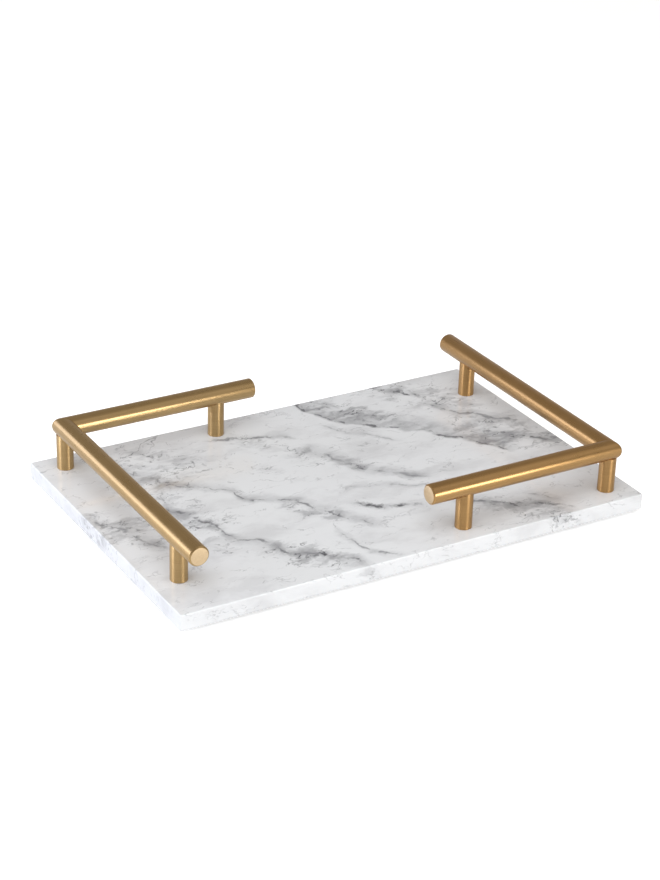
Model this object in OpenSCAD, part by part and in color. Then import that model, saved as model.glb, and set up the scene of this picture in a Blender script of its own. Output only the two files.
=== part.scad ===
/* [Slab] */
// Length of the marble slab along its long edges
slab_length = 303; // [290:1:400]
// Width of the marble slab along its short edges
slab_width = 200; // [190:5:280]
// Thickness of the marble slab
slab_thickness = 10; // [9:0.5:16]
// Radius of the slab's four upright corners
slab_corner_radius = 1.2; // [1.2:0.2:8]
// Width of the small chamfer that eases the slab's top and bottom edges
slab_edge_easing = 0.8; // [0.4:0.1:1]

/* [Rails] */
// Diameter of the round bars
bar_diameter = 12; // [11.5:0.5:16]
// Distance from the slab's long edges to the centre lines of the bars along them
rail_inset = 15; // [10:1:20]
// Distance from the slab's short edges to the centre lines of the bars along them
side_rail_inset = 16.5; // [10:0.5:20]
// Distance between the two posts under a bar along a long edge
long_edge_pitch = 100; // [60:5:200]
// Distance between the two posts under a bar along a short edge
short_edge_pitch = 150; // [80:5:155]
// Length of bar that runs on past the last post's centre
bar_overhang = 24.5; // [12:0.5:28]
// Radius that the outer edge of the mitred corner is ground to
mitre_round = 2; // [0.5:0.5:4]
// Chamfer around the free end of each bar
bar_end_chamfer = 0.8; // [0.4:0.1:1.5]

/* [Posts] */
// Diameter of the posts
post_diameter = 10; // [9:0.5:11]
// Height of the bars' undersides above the slab
post_height = 20; // [18:1:40]
// Depth that an outer post is let into its bar
post_seat_depth = 3; // [2.7:0.1:3.6]
// Depth that a corner post is let into the mitred corner
corner_seat_depth = 1.8; // [1.2:0.1:2.4]
// Chamfer around both ends of each post
post_edge_break = 0.3; // [0.2:0.1:0.6]

/* [Fasteners] */
// Nominal thread diameter of the screws and studs
thread_diameter = 4; // [3:0.5:4]
// Radial clearance between a fastener or post and its hole
fit_clearance = 0.05; // [0.02:0.01:0.1]
// Length of the screws under the head
screw_length = 16; // [14:1:16]
// Diameter of the screw heads
head_diameter = 8; // [7:0.5:8.5]
// Height of the screw heads
head_height = 2.6; // [2.2:0.1:2.8]
// Length of the studs that join posts to bars
stud_length = 10; // [8:0.5:10]
// Outer diameter of both kinds of washer
washer_diameter = 9; // [8.5:0.5:9.5]
// Thickness of both kinds of washer
washer_thickness = 0.8; // [0.5:0.1:1]

/* [Feet] */
// Diameter of the feet where they meet the slab
foot_diameter = 12; // [8:1:16]
// Height of the feet
foot_height = 2.5; // [2:0.5:5]
// Distance from the slab's edges to the feet's centres
foot_inset = 30; // [28:1:45]

/* [Hidden] */
$fn = 96;
eps = 0.01;

bar_radius = bar_diameter / 2;
post_radius = post_diameter / 2;
thread_radius = thread_diameter / 2;
long_bar_length = long_edge_pitch + bar_overhang;
short_bar_length = short_edge_pitch + bar_overhang;

slab_top = foot_height + slab_thickness;
bar_axis_height = slab_top + post_height + bar_radius;
corner_x = slab_length / 2 - side_rail_inset;
corner_y = slab_width / 2 - rail_inset;

// Stepped screw holes in the slab, from beneath
counterbore_diameter = washer_diameter + 1;
counterbore_depth = 5;
clearance_hole_diameter = thread_diameter + 0.5;
washer_bore_diameter = thread_diameter + 0.3;
counterbore_roof = foot_height + counterbore_depth;
steel_washer_base = counterbore_roof - 2 * washer_thickness;

// Tapped holes run a little deeper than the thread that fills them
thread_end_room = 1;
screw_tip = steel_washer_base + screw_length;
screw_hole_depth = screw_tip - slab_top + thread_end_room;
stud_half = stud_length / 2;
stud_hole_in_bar = stud_half + 0.5;
stud_hole_in_post = stud_half + thread_end_room;

recess_width = 1;
recess_span = 4.4;
recess_depth = 1.4;
head_edge_round = 0.8;
thread_tip_chamfer = 0.5;
foot_taper = 0.8;
foot_edge_break = 0.4;

// A rail's own frame has its origin under the mitred corner, with one bar along +X and one along -Y
LEFT = -1;
RIGHT = 1;
CORNER_POST = [0, 0];
LONG_POST = [long_edge_pitch, 0];
SHORT_POST = [0, -short_edge_pitch];
POST_PLACES = [CORNER_POST, LONG_POST, SHORT_POST];
POST_SEATS = [corner_seat_depth, post_seat_depth, post_seat_depth];

// The right rail is the left rail turned half round about the slab's centre
module place_rail(side) {
    translate([side * corner_x, -side * corner_y, 0])
        rotate([0, 0, side == RIGHT ? 180 : 0])
            children();
}

module at_posts() {
    for (place = POST_PLACES) {
        translate([place[0], place[1], 0])
            children();
    }
}

// A round rod along +Z from z = 0, with a chamfer at each end
module chamfered_rod(radius, height, base_chamfer, top_chamfer) {
    rotate_extrude()
        polygon([
            [0, 0],
            [radius - base_chamfer, 0],
            [radius, base_chamfer],
            [radius, height - top_chamfer],
            [radius - top_chamfer, height],
            [0, height]
        ]);
}

module washer_ring(base) {
    translate([0, 0, base])
        difference() {
            cylinder(d = washer_diameter, h = washer_thickness);
            translate([0, 0, -eps])
                cylinder(d = washer_bore_diameter, h = washer_thickness + 2 * eps);
        }
}

// A plate of the slab's thickness with its long top and bottom edges eased, along X
module eased_strip(length, width) {
    easing = slab_edge_easing;
    half = width / 2;
    rotate([90, 0, 90])
        linear_extrude(height = length, center = true)
            polygon([
                [-half + easing, 0],
                [half - easing, 0],
                [half, easing],
                [half, slab_thickness - easing],
                [half - easing, slab_thickness],
                [-half + easing, slab_thickness],
                [-half, slab_thickness - easing],
                [-half, easing]
            ]);
}

module slab_blank() {
    corner_reach_x = slab_length / 2 - slab_corner_radius;
    corner_reach_y = slab_width / 2 - slab_corner_radius;
    eased_strip(2 * corner_reach_x, slab_width);
    rotate([0, 0, 90])
        eased_strip(2 * corner_reach_y, slab_length);
    for (sx = [-1, 1], sy = [-1, 1]) {
        translate([sx * corner_reach_x, sy * corner_reach_y, 0])
            chamfered_rod(slab_corner_radius, slab_thickness, slab_edge_easing, slab_edge_easing);
    }
}

module screw_hole() {
    translate([0, 0, foot_height - eps])
        cylinder(d = counterbore_diameter, h = counterbore_depth + eps);
    translate([0, 0, foot_height])
        cylinder(d = clearance_hole_diameter, h = slab_thickness + eps);
}

module marble_slab() {
    color("whitesmoke")
        difference() {
            translate([0, 0, foot_height])
                slab_blank();
            for (side = [LEFT, RIGHT]) {
                place_rail(side)
                    at_posts()
                        screw_hole();
            }
        }
}

// Flat-bottomed seat for a post, with the stud's hole above it, in a bar whose axis is at z = 0
module post_seat(seat_depth) {
    seat_roof = seat_depth - bar_radius;
    translate([0, 0, -bar_radius - 1])
        cylinder(r = post_radius + fit_clearance, h = seat_depth + 1);
    translate([0, 0, seat_roof - eps])
        cylinder(r = thread_radius + fit_clearance, h = stud_hole_in_bar + eps);
}

// Everything outside the round that the outer edge of the corner is ground to
module corner_grinding() {
    centre = bar_radius - mitre_round;
    difference() {
        translate([-bar_radius - 1, centre, -bar_radius - 1])
            cube([mitre_round + 1, mitre_round + 1, bar_diameter + 2]);
        translate([-centre, centre, -bar_radius - 2])
            cylinder(r = mitre_round, h = bar_diameter + 4);
    }
}

// A bar along +X, mitred at the corner where a second bar leaves along -Y
module mitred_bar(length, pitch) {
    mitre_block = 4 * bar_diameter;
    difference() {
        translate([-bar_radius, 0, 0])
            rotate([0, 90, 0])
                chamfered_rod(bar_radius, length + bar_radius, 0, bar_end_chamfer);
        rotate([0, 0, 45])
            translate([-mitre_block, -mitre_block / 2, -mitre_block / 2])
                cube(mitre_block);
        corner_grinding();
        post_seat(corner_seat_depth);
        translate([pitch, 0, 0])
            post_seat(post_seat_depth);
    }
}

module long_edge_bar(side) {
    color("goldenrod")
        place_rail(side)
            translate([0, 0, bar_axis_height])
                mitred_bar(long_bar_length, long_edge_pitch);
}

module short_edge_bar(side) {
    color("goldenrod")
        place_rail(side)
            translate([0, 0, bar_axis_height])
                mirror([1, 1, 0])
                    mitred_bar(short_bar_length, short_edge_pitch);
}

// A post standing on the slab, tapped at both ends
module post(side, place, seat_depth) {
    height = post_height + seat_depth;
    color("darkgoldenrod")
        place_rail(side)
            translate([place[0], place[1], slab_top])
                difference() {
                    chamfered_rod(post_radius, height, post_edge_break, post_edge_break);
                    translate([0, 0, -eps])
                        cylinder(r = thread_radius + fit_clearance, h = screw_hole_depth + eps);
                    translate([0, 0, height - stud_hole_in_post])
                        cylinder(r = thread_radius + fit_clearance, h = stud_hole_in_post + eps);
                }
}

module rail_studs(side) {
    color("silver")
        place_rail(side)
            for (i = [0 : len(POST_PLACES) - 1]) {
                seat_roof = slab_top + post_height + POST_SEATS[i];
                translate([POST_PLACES[i][0], POST_PLACES[i][1], seat_roof - stud_half])
                    chamfered_rod(thread_radius, stud_length, thread_tip_chamfer, thread_tip_chamfer);
            }
}

module cross_recess() {
    for (turn = [0, 90]) {
        rotate([0, 0, turn])
            translate([-recess_span / 2, -recess_width / 2, -eps])
                cube([recess_span, recess_width, recess_depth + eps]);
    }
}

// A pan-head screw that points up, with its bearing face at z = head_height
module pan_head_screw() {
    difference() {
        chamfered_rod(head_diameter / 2, head_height, head_edge_round, 0);
        cross_recess();
    }
    translate([0, 0, head_height])
        chamfered_rod(thread_radius, screw_length, 0, thread_tip_chamfer);
}

module rail_screws(side) {
    color("silver")
        place_rail(side)
            at_posts()
                translate([0, 0, steel_washer_base - head_height])
                    pan_head_screw();
}

module rail_steel_washers(side) {
    color("lightgray")
        place_rail(side)
            at_posts()
                washer_ring(steel_washer_base);
}

module rail_nylon_washers(side) {
    color("ivory")
        place_rail(side)
            at_posts()
                washer_ring(steel_washer_base + washer_thickness);
}

// A tapered bumper foot, widest where it is stuck to the slab
module foot(sx, sy) {
    base_radius = foot_diameter / 2;
    tread_radius = base_radius - foot_taper;
    color("gainsboro")
        translate([sx * (slab_length / 2 - foot_inset), sy * (slab_width / 2 - foot_inset), 0])
            rotate_extrude()
                polygon([
                    [0, 0],
                    [tread_radius - foot_edge_break, 0],
                    [tread_radius, foot_edge_break],
                    [base_radius, foot_height],
                    [0, foot_height]
                ]);
}

marble_slab();
long_edge_bar(LEFT);  // left_rail_back_bar
short_edge_bar(LEFT);  // left_rail_side_bar
long_edge_bar(RIGHT);  // right_rail_front_bar
short_edge_bar(RIGHT);  // right_rail_side_bar
post(LEFT, CORNER_POST, corner_seat_depth);  // left_corner_post
post(LEFT, LONG_POST, post_seat_depth);  // left_back_post
post(LEFT, SHORT_POST, post_seat_depth);  // left_side_post
post(RIGHT, CORNER_POST, corner_seat_depth);  // right_corner_post
post(RIGHT, LONG_POST, post_seat_depth);  // right_front_post
post(RIGHT, SHORT_POST, post_seat_depth);  // right_side_post
rail_studs(LEFT);  // left_rail_studs
rail_studs(RIGHT);  // right_rail_studs
rail_screws(LEFT);  // left_rail_screws
rail_screws(RIGHT);  // right_rail_screws
rail_steel_washers(LEFT);  // left_rail_steel_washers
rail_steel_washers(RIGHT);  // right_rail_steel_washers
rail_nylon_washers(LEFT);  // left_rail_nylon_washers
rail_nylon_washers(RIGHT);  // right_rail_nylon_washers
foot(-1, -1);  // front_left_foot
foot(1, -1);  // front_right_foot
foot(-1, 1);  // back_left_foot
foot(1, 1);  // back_right_foot
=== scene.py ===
"""Looks of a marble dresser tray with a brass rail at two opposite corners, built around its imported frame."""

import logging
import math
from contextlib import contextmanager
from dataclasses import dataclass, field
from enum import Enum
from typing import Callable, Iterator, Sequence

import bmesh
import bpy
from bpy.types import Material, Node, NodeSocket, NodeTree, Object
from mathutils import Matrix, Vector


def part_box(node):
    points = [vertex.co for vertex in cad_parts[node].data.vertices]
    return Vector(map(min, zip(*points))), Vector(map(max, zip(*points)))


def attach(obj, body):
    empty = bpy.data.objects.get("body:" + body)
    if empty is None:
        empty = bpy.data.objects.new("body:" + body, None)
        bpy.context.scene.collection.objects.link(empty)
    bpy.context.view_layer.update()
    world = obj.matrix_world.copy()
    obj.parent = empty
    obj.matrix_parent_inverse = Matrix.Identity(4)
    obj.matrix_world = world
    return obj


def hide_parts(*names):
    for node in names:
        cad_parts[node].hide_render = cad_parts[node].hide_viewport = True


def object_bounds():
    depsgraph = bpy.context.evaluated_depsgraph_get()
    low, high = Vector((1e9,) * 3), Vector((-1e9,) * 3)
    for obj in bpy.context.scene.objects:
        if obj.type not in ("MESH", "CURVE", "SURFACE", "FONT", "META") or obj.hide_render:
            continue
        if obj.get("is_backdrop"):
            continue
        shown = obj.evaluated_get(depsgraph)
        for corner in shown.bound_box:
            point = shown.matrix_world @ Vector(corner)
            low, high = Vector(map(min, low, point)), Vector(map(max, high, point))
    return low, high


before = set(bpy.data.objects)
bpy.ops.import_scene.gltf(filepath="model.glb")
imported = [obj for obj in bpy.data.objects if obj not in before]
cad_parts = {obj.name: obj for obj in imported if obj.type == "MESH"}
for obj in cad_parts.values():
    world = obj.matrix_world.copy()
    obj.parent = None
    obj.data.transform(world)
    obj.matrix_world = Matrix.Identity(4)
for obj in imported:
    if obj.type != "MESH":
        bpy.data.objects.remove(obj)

log = logging.getLogger("tray")

Colour = tuple[float, float, float]
Point = tuple[float, float, float]

MM = 0.001
BODY = "root"
SMOOTH_ANGLE = math.radians(30)
WELD = 0.001 * MM
ON_PLANE = 0.0001 * MM
ORIGIN = (0, 0, 0)
WHITE = (1.0, 1.0, 1.0)
# The same amount along both axes makes a diagonal step of length 1.
DIAGONAL = math.sqrt(0.5)
# Value of a noise halfway between its lowest and highest.
NOISE_MIDDLE = 0.5
# Share that stands for the middle of the stone's pattern.
CENTRED = 0.5
# Bevel profile that is part of a circle.
ROUND = 0.5
# A face looks along a way if the cosine of the angle between them is above this.
FACING = 0.99


# ---------------------------------------------------------------- bench tools


def take(*pieces: Object) -> None:
    """Makes these the only selected objects, the first of them active.

    Args:
        pieces: The objects to work on.
    """
    bpy.ops.object.select_all(action="DESELECT")
    for piece in pieces:
        piece.select_set(True)
    bpy.context.view_layer.objects.active = pieces[0]


@contextmanager
def shaping(piece: Object) -> Iterator[None]:
    """Holds a piece open in edit mode, with nothing selected at the start.

    Args:
        piece: The mesh to shape.
    """
    take(piece)
    bpy.ops.object.mode_set(mode="EDIT")
    bpy.ops.mesh.select_mode(type="VERT")
    bpy.ops.mesh.select_all(action="DESELECT")
    yield
    bpy.ops.object.mode_set(mode="OBJECT")


def pick_edges(piece: Object, wanted: Callable[[Vector, Vector], bool]) -> None:
    """Selects only the edges whose two ends pass a test, in edit mode.

    Args:
        piece: The mesh in edit mode.
        wanted: Says whether an edge with these two ends is selected.
    """
    bpy.ops.mesh.select_mode(type="EDGE")
    bpy.ops.mesh.select_all(action="DESELECT")
    mesh = bmesh.from_edit_mesh(piece.data)
    for edge in mesh.edges:
        edge.select_set(wanted(edge.verts[0].co, edge.verts[1].co))
    bmesh.update_edit_mesh(piece.data)


def pick_faces(piece: Object, wanted: Callable[[Vector, Vector], bool]) -> None:
    """Selects only the faces whose middle and normal pass a test, in edit mode.

    Args:
        piece: The mesh in edit mode.
        wanted: Says whether a face with this middle and this normal is selected.
    """
    bpy.ops.mesh.select_mode(type="FACE")
    bpy.ops.mesh.select_all(action="DESELECT")
    mesh = bmesh.from_edit_mesh(piece.data)
    mesh.normal_update()
    for face in mesh.faces:
        face.select_set(wanted(face.calc_center_median(), face.normal))
    bmesh.update_edit_mesh(piece.data)


def round_picked(size: float, steps: int) -> None:
    """Rounds the edges that are selected in edit mode.

    Args:
        size: How far the rounding reaches from each edge.
        steps: Number of flats across it.
    """
    bpy.ops.mesh.bevel(offset=size, offset_type="OFFSET", segments=steps, profile=ROUND, affect="EDGES")


def tidy_shell(piece: Object) -> None:
    """Welds doubled points and turns every face outwards.

    Args:
        piece: The closed mesh to tidy.
    """
    with shaping(piece):
        bpy.ops.mesh.select_all(action="SELECT")
        bpy.ops.mesh.remove_doubles(threshold=WELD)
        bpy.ops.mesh.normals_make_consistent(inside=False)


def cut_off(
    piece: Object,
    point: Point,
    outwards: Point,
    close: bool = True,
) -> None:
    """Saws a piece along a plane and throws one side away.

    Args:
        piece: The mesh to saw.
        point: A point on the plane.
        outwards: The plane's normal, on the side that is thrown away.
        close: Whether the cut is closed with a face.
    """
    with shaping(piece):
        bpy.ops.mesh.select_all(action="SELECT")
        bpy.ops.mesh.bisect(
            plane_co=point, plane_no=outwards, use_fill=close, clear_outer=True, threshold=ON_PLANE
        )


def settle(piece: Object) -> None:
    """Puts an object's place, turn and scale into its mesh."""
    take(piece)
    bpy.ops.object.transform_apply(location=True, rotation=True, scale=True)


def copy_of(piece: Object, name: str) -> Object:
    """Copies a piece with a mesh of its own.

    Args:
        piece: The piece to copy.
        name: The copy's name.

    Returns:
        The copy, at the same place.
    """
    take(piece)
    bpy.ops.object.duplicate()
    twin = bpy.context.active_object
    twin.name = name
    twin.data.name = name
    return twin


def apply_modifier(piece: Object, kind: str, **settings: object) -> None:
    """Adds a modifier, sets it up and applies it.

    Args:
        piece: The mesh to change.
        kind: Blender's name of the modifier's type.
        settings: The modifier's settings by name.
    """
    take(piece)
    modifier = piece.modifiers.new(kind.lower(), kind)
    for name, value in settings.items():
        setattr(modifier, name, value)
    bpy.ops.object.modifier_apply(modifier=modifier.name)


def carve(piece: Object, *cutters: Object) -> None:
    """Cuts each cutter's shape out of a piece and throws the cutter away.

    Args:
        piece: The solid to cut.
        cutters: The closed shapes to take out.
    """
    for cutter in cutters:
        apply_modifier(piece, "BOOLEAN", operation="DIFFERENCE", solver="EXACT", object=cutter)
        bpy.data.objects.remove(cutter)


def soften(piece: Object) -> None:
    """Shades a finished piece smooth, except across sharp edges."""
    take(piece)
    bpy.ops.object.shade_smooth_by_angle(angle=SMOOTH_ANGLE, keep_sharp_edges=True)


def turned(name: str, profile: Sequence[tuple[float, float]], sides: int) -> Object:
    """Turns a shape about Z, as on a lathe, by drawing a ring up from step to step.

    Args:
        name: The new object's name.
        profile: Radius and height of each step, in metres. A profile that ends where it
            starts makes a hollow ring, and any other is closed by its first and last discs.
        sides: Number of flats round the shape.

    Returns:
        The closed, turned solid, about the world's Z axis.
    """
    radius, height = profile[0]
    hollow = profile[0] == profile[-1]
    bpy.ops.object.select_all(action="DESELECT")
    bpy.ops.mesh.primitive_circle_add(
        vertices=sides,
        radius=radius,
        fill_type="NOTHING" if hollow else "NGON",
        location=(0, 0, height),
    )
    piece = bpy.context.active_object
    piece.name = name
    piece.data.name = name
    settle(piece)
    with shaping(piece):
        bpy.ops.mesh.select_all(action="SELECT")
        for next_radius, next_height in profile[1:]:
            bpy.ops.mesh.extrude_region_move(
                TRANSFORM_OT_translate={"value": (0, 0, next_height - height)}
            )
            growth = next_radius / radius
            bpy.ops.transform.resize(value=(growth, growth, 1), center_override=(0, 0, next_height))
            radius, height = next_radius, next_height
    tidy_shell(piece)
    return piece


def arc_steps(
    centre: tuple[float, float], radius: float, start: float, stop: float, steps: int
) -> list[tuple[float, float]]:
    """Works out a round stretch of a turned profile.

    Args:
        centre: Radius and height of the arc's centre.
        radius: The arc's own radius.
        start: Angle at which it starts, in degrees, where 0 points outwards and 90 up.
        stop: Angle at which it ends.
        steps: Number of stretches in the arc.

    Returns:
        Radius and height of each point, from start to stop.
    """
    angles = [math.radians(start + (stop - start) * i / steps) for i in range(steps + 1)]
    return [(centre[0] + radius * math.cos(a), centre[1] + radius * math.sin(a)) for a in angles]


def box(node: str) -> tuple[Vector, Vector]:
    """Gives a frame node's box, to the nearest hundredth of a millimetre.

    The frame's round parts are many-sided, so their boxes fall a few microns short.

    Args:
        node: The node's name.

    Returns:
        The lowest and highest corners in metres.
    """
    low, high = (Vector([round(value, 5) for value in corner]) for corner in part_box(node))
    return low, high


def middle(node: str) -> Vector:
    """Gives the middle of a frame node's box, in metres."""
    low, high = box(node)
    return (low + high) / 2


# ------------------------------------------------------------ shader wiring


@dataclass(frozen=True)
class Noise:
    """A noise by its scale, finer layers and their weight, and the range of it that a mask runs over."""

    scale: float
    detail: float
    rough: float
    low: float = 0.0
    high: float = 1.0


class Wiring:
    """Short calls that add and join the nodes of one material or node group."""

    COLOUR_MIX_INPUTS = (0, 6, 7)
    COLOUR_MIX_RESULT = 2

    def __init__(self, tree: NodeTree) -> None:
        """Starts on a node tree."""
        self.tree = tree

    def add(self, kind: str, **settings: object) -> Node:
        """Adds a node.

        Args:
            kind: The node's type name without its Shader prefix.
            settings: The node's own settings by name.

        Returns:
            The new node.
        """
        node = self.tree.nodes.new("Shader" + kind)
        for name, value in settings.items():
            setattr(node, name, value)
        return node

    def put(self, socket: NodeSocket, value: object) -> None:
        """Links a socket into an input, or sets the input's value.

        Args:
            socket: The input.
            value: A socket to link, or a value to set.
        """
        if isinstance(value, NodeSocket):
            self.tree.links.new(value, socket)
        else:
            socket.default_value = value

    def feed(self, node: Node, **inputs: object) -> Node:
        """Sets or links a node's inputs by name, with underscores for spaces.

        Args:
            node: The node to feed.
            inputs: A socket to link, or a value to set, for each input.

        Returns:
            The same node.
        """
        for name, value in inputs.items():
            self.put(node.inputs[name.replace("_", " ")], value)
        return node

    def math(self, operation: str, *values: object, clamp: bool = False) -> NodeSocket:
        """Adds a sum on numbers.

        Args:
            operation: Blender's name of the operation.
            values: Sockets or numbers, in order.
            clamp: Whether the result is kept between 0 and 1.

        Returns:
            The result's socket.
        """
        node = self.add("NodeMath", operation=operation, use_clamp=clamp)
        for socket, value in zip(node.inputs, values):
            self.put(socket, value)
        return node.outputs["Value"]

    def vector(self, operation: str, *values: object, output: str = "Vector") -> NodeSocket:
        """Adds a sum on vectors.

        Args:
            operation: Blender's name of the operation.
            values: Sockets or vectors, in order. A plain number sets the scale.
            output: The result that is wanted, Vector or Value.

        Returns:
            The result's socket.
        """
        node = self.add("NodeVectorMath", operation=operation)
        for socket, value in zip(node.inputs, values):
            plain = isinstance(value, (int, float))
            self.put(node.inputs["Scale"] if plain else socket, value)
        return node.outputs[output]

    def noise(self, where: NodeSocket, pattern: Noise, output: str = "Fac") -> NodeSocket:
        """Adds a noise.

        Args:
            where: The coordinates that it reads.
            pattern: The noise's settings.
            output: The result that is wanted, Fac or Color.

        Returns:
            The result's socket.
        """
        node = self.add("NodeTexNoise")
        self.feed(node, Vector=where, Scale=pattern.scale, Detail=pattern.detail, Roughness=pattern.rough)
        return node.outputs[output]

    def ramp(
        self, value: NodeSocket, low: object, high: object, start: float = 0.0, stop: float = 1.0
    ) -> NodeSocket:
        """Turns one range into another with a smooth start and stop.

        Args:
            value: The number to read.
            low: Where the change starts.
            high: Where it ends, which may be below low.
            start: The result at low and before it.
            stop: The result at high and after it.

        Returns:
            The result's socket.
        """
        node = self.add("NodeMapRange", interpolation_type="SMOOTHSTEP")
        self.feed(node, Value=value, From_Min=low, From_Max=high, To_Min=start, To_Max=stop)
        return node.outputs["Result"]

    def mask(self, where: NodeSocket, pattern: Noise) -> NodeSocket:
        """Makes a mask from a noise.

        Args:
            where: The coordinates that it reads.
            pattern: The noise, whose low end gives 0 and high end 1.

        Returns:
            The mask's socket.
        """
        return self.ramp(self.noise(where, pattern), pattern.low, pattern.high)

    def blend(self, first: NodeSocket, second: NodeSocket, share: float) -> NodeSocket:
        """Adds two numbers in shares that make a whole.

        Args:
            first: The first number.
            second: The second number.
            share: The first number's share.

        Returns:
            The sum's socket.
        """
        return self.math("MULTIPLY_ADD", first, share, self.math("MULTIPLY", second, 1 - share))

    def mix(self, share: object, first: object, second: object) -> NodeSocket:
        """Mixes two colours.

        Args:
            share: Share of the second colour, a socket or a number.
            first: The first colour, a socket or three numbers.
            second: The second colour.

        Returns:
            The mixed colour's socket.
        """
        node = self.add("NodeMix", data_type="RGBA")
        for index, value in zip(self.COLOUR_MIX_INPUTS, (share, first, second)):
            self.put(node.inputs[index], (*value, 1.0) if isinstance(value, tuple) else value)
        return node.outputs[self.COLOUR_MIX_RESULT]

    def relief(self, shader: Node, height: NodeSocket, strength: float, depth: float) -> None:
        """Raises a shader's surface by a height, too fine for geometry.

        Args:
            shader: The shader.
            height: The height.
            strength: Strength of the relief, from 0 to 1.
            depth: Its depth in metres.
        """
        bump = self.add("NodeBump")
        self.feed(bump, Height=height, Strength=strength, Distance=depth)
        self.feed(shader, Normal=bump.outputs["Normal"])

    def group(self, tree: NodeTree, **inputs: object) -> Node:
        """Places a shader node group.

        Args:
            tree: The group's tree.
            inputs: Its inputs, as for feed.

        Returns:
            The group node.
        """
        node = self.add("NodeGroup")
        node.node_tree = tree
        return self.feed(node, **inputs)


def new_group(
    name: str, inputs: dict[str, float | tuple], outputs: Sequence[str]
) -> tuple[NodeTree, Wiring, Node, Node]:
    """Starts a shader node group with named inputs and outputs.

    Args:
        name: The group's name.
        inputs: Each input's name and its default. Three numbers make a vector input.
        outputs: The names of its outputs, which are numbers.

    Returns:
        The tree, its wiring, and its input and output nodes.
    """
    tree = bpy.data.node_groups.new(name, "ShaderNodeTree")
    for label, value in inputs.items():
        kind = "NodeSocketVector" if isinstance(value, tuple) else "NodeSocketFloat"
        socket = tree.interface.new_socket(label, in_out="INPUT", socket_type=kind)
        socket.default_value = value
    for label in outputs:
        tree.interface.new_socket(label, in_out="OUTPUT", socket_type="NodeSocketFloat")
    return tree, Wiring(tree), tree.nodes.new("NodeGroupInput"), tree.nodes.new("NodeGroupOutput")


def new_material(name: str, **shader: object) -> tuple[Material, Wiring, Node, NodeSocket]:
    """Starts a material whose shader holds plain values.

    Args:
        name: The material's name.
        shader: The Principled shader's own values, with underscores for spaces.

    Returns:
        The material, its wiring, its shader, and object coordinates in millimetres.
    """
    material = bpy.data.materials.new(name)
    material.use_nodes = True
    wiring = Wiring(material.node_tree)
    principled = material.node_tree.nodes["Principled BSDF"]
    wiring.feed(principled, **shader)
    place = wiring.add("NodeTexCoord").outputs["Object"]
    return material, wiring, principled, wiring.vector("SCALE", place, 1 / MM)


# ------------------------------------------------------------------ finishes


class Grain(Enum):
    """Direction of the brush marks, as pattern scales per millimetre along X, Y and Z."""

    ALONG_X = (0.03, 5.0, 5.0)
    ALONG_Y = (5.0, 0.03, 5.0)
    ROUND_Z = (0.15, 0.15, 5.0)
    EVEN = (3.0, 3.0, 3.0)


class Cast(Enum):
    """Bright and dark tone of each rail's brass: the right rail's is a little redder than the left one's, which
    is painted warm reflected light, not a different brass.
    """

    LEFT = ((0.55, 0.377, 0.180), (0.485, 0.327, 0.148))
    RIGHT = ((0.54, 0.325, 0.135), (0.475, 0.283, 0.112))


class SharedGroups:
    """The node groups that several finishes place."""

    FINE_MARKS = Noise(1.0, 2.0, 0.6)
    BROAD_STREAKS = Noise(0.22, 1.0, 0.5)
    MARK_RANGE = (0.25, 0.75)
    FILM = Noise(1.0, 4.0, 0.6, 0.35, 0.7)

    def __init__(self) -> None:
        """Builds each group once."""
        self.marks = self.brush_marks()
        self.film = self.handling_film()

    def brush_marks(self) -> NodeTree:
        """Builds the group that draws fine straight brush marks.

        Returns:
            The group's tree, with outputs Marks and Height.
        """
        tree, wiring, inside, outside = new_group(
            "brush_marks",
            {"Place": (0.0, 0.0, 0.0), "Stretch": (1.0, 1.0, 1.0), "Streaks": 0.5},
            ("Marks", "Height"),
        )
        get = inside.outputs
        stretched = wiring.vector("MULTIPLY", get["Place"], get["Stretch"])
        fine = wiring.noise(stretched, self.FINE_MARKS)
        broad = wiring.noise(stretched, self.BROAD_STREAKS)
        share = wiring.math("MULTIPLY", wiring.math("SUBTRACT", broad, NOISE_MIDDLE), get["Streaks"])
        marks = wiring.math("ADD", fine, share, clamp=True)
        wiring.feed(outside, Marks=wiring.ramp(marks, *self.MARK_RANGE), Height=fine)
        return tree

    def handling_film(self) -> NodeTree:
        """Builds the group that draws the faint uneven film left by handling and polishing.

        Returns:
            The group's tree, with the output Film.
        """
        tree, wiring, inside, outside = new_group(
            "handling_film", {"Place": (0.0, 0.0, 0.0), "Size": 20.0}, ("Film",)
        )
        shrunk = wiring.vector("SCALE", inside.outputs["Place"])
        wiring.feed(shrunk.node, Scale=wiring.math("DIVIDE", 1.0, inside.outputs["Size"]))
        wiring.feed(outside, Film=wiring.mask(shrunk, self.FILM))
        return tree


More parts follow.
